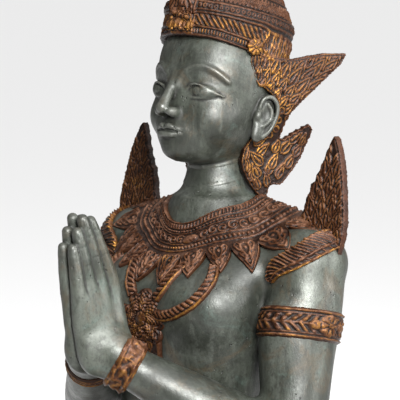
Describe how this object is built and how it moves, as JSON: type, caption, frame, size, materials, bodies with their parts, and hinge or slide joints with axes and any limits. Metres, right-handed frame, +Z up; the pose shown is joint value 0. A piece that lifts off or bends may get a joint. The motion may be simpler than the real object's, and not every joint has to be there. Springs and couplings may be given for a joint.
{
  "type": "thepphanom angel statue",
  "caption": "Kneeling angel with palms pressed together, tiered crown, winged ear ornaments and flame epaulettes, cast in patinated bronze on a low base.",
  "frame": {"origin": "centre of the flat underside of the base", "axes": "+Z up, the figure faces -Y, its left hand is towards +X"},
  "size_m": [0.3271, 0.43, 0.9287],
  "materials": {
    "patinated_bronze": "dark green-grey patina on the skin, red-brown and worn gold on the ornaments"
  },
  "bodies": {
    "root": {"thepphanom_statue": "patinated_bronze"}
  },
  "joints": []
}
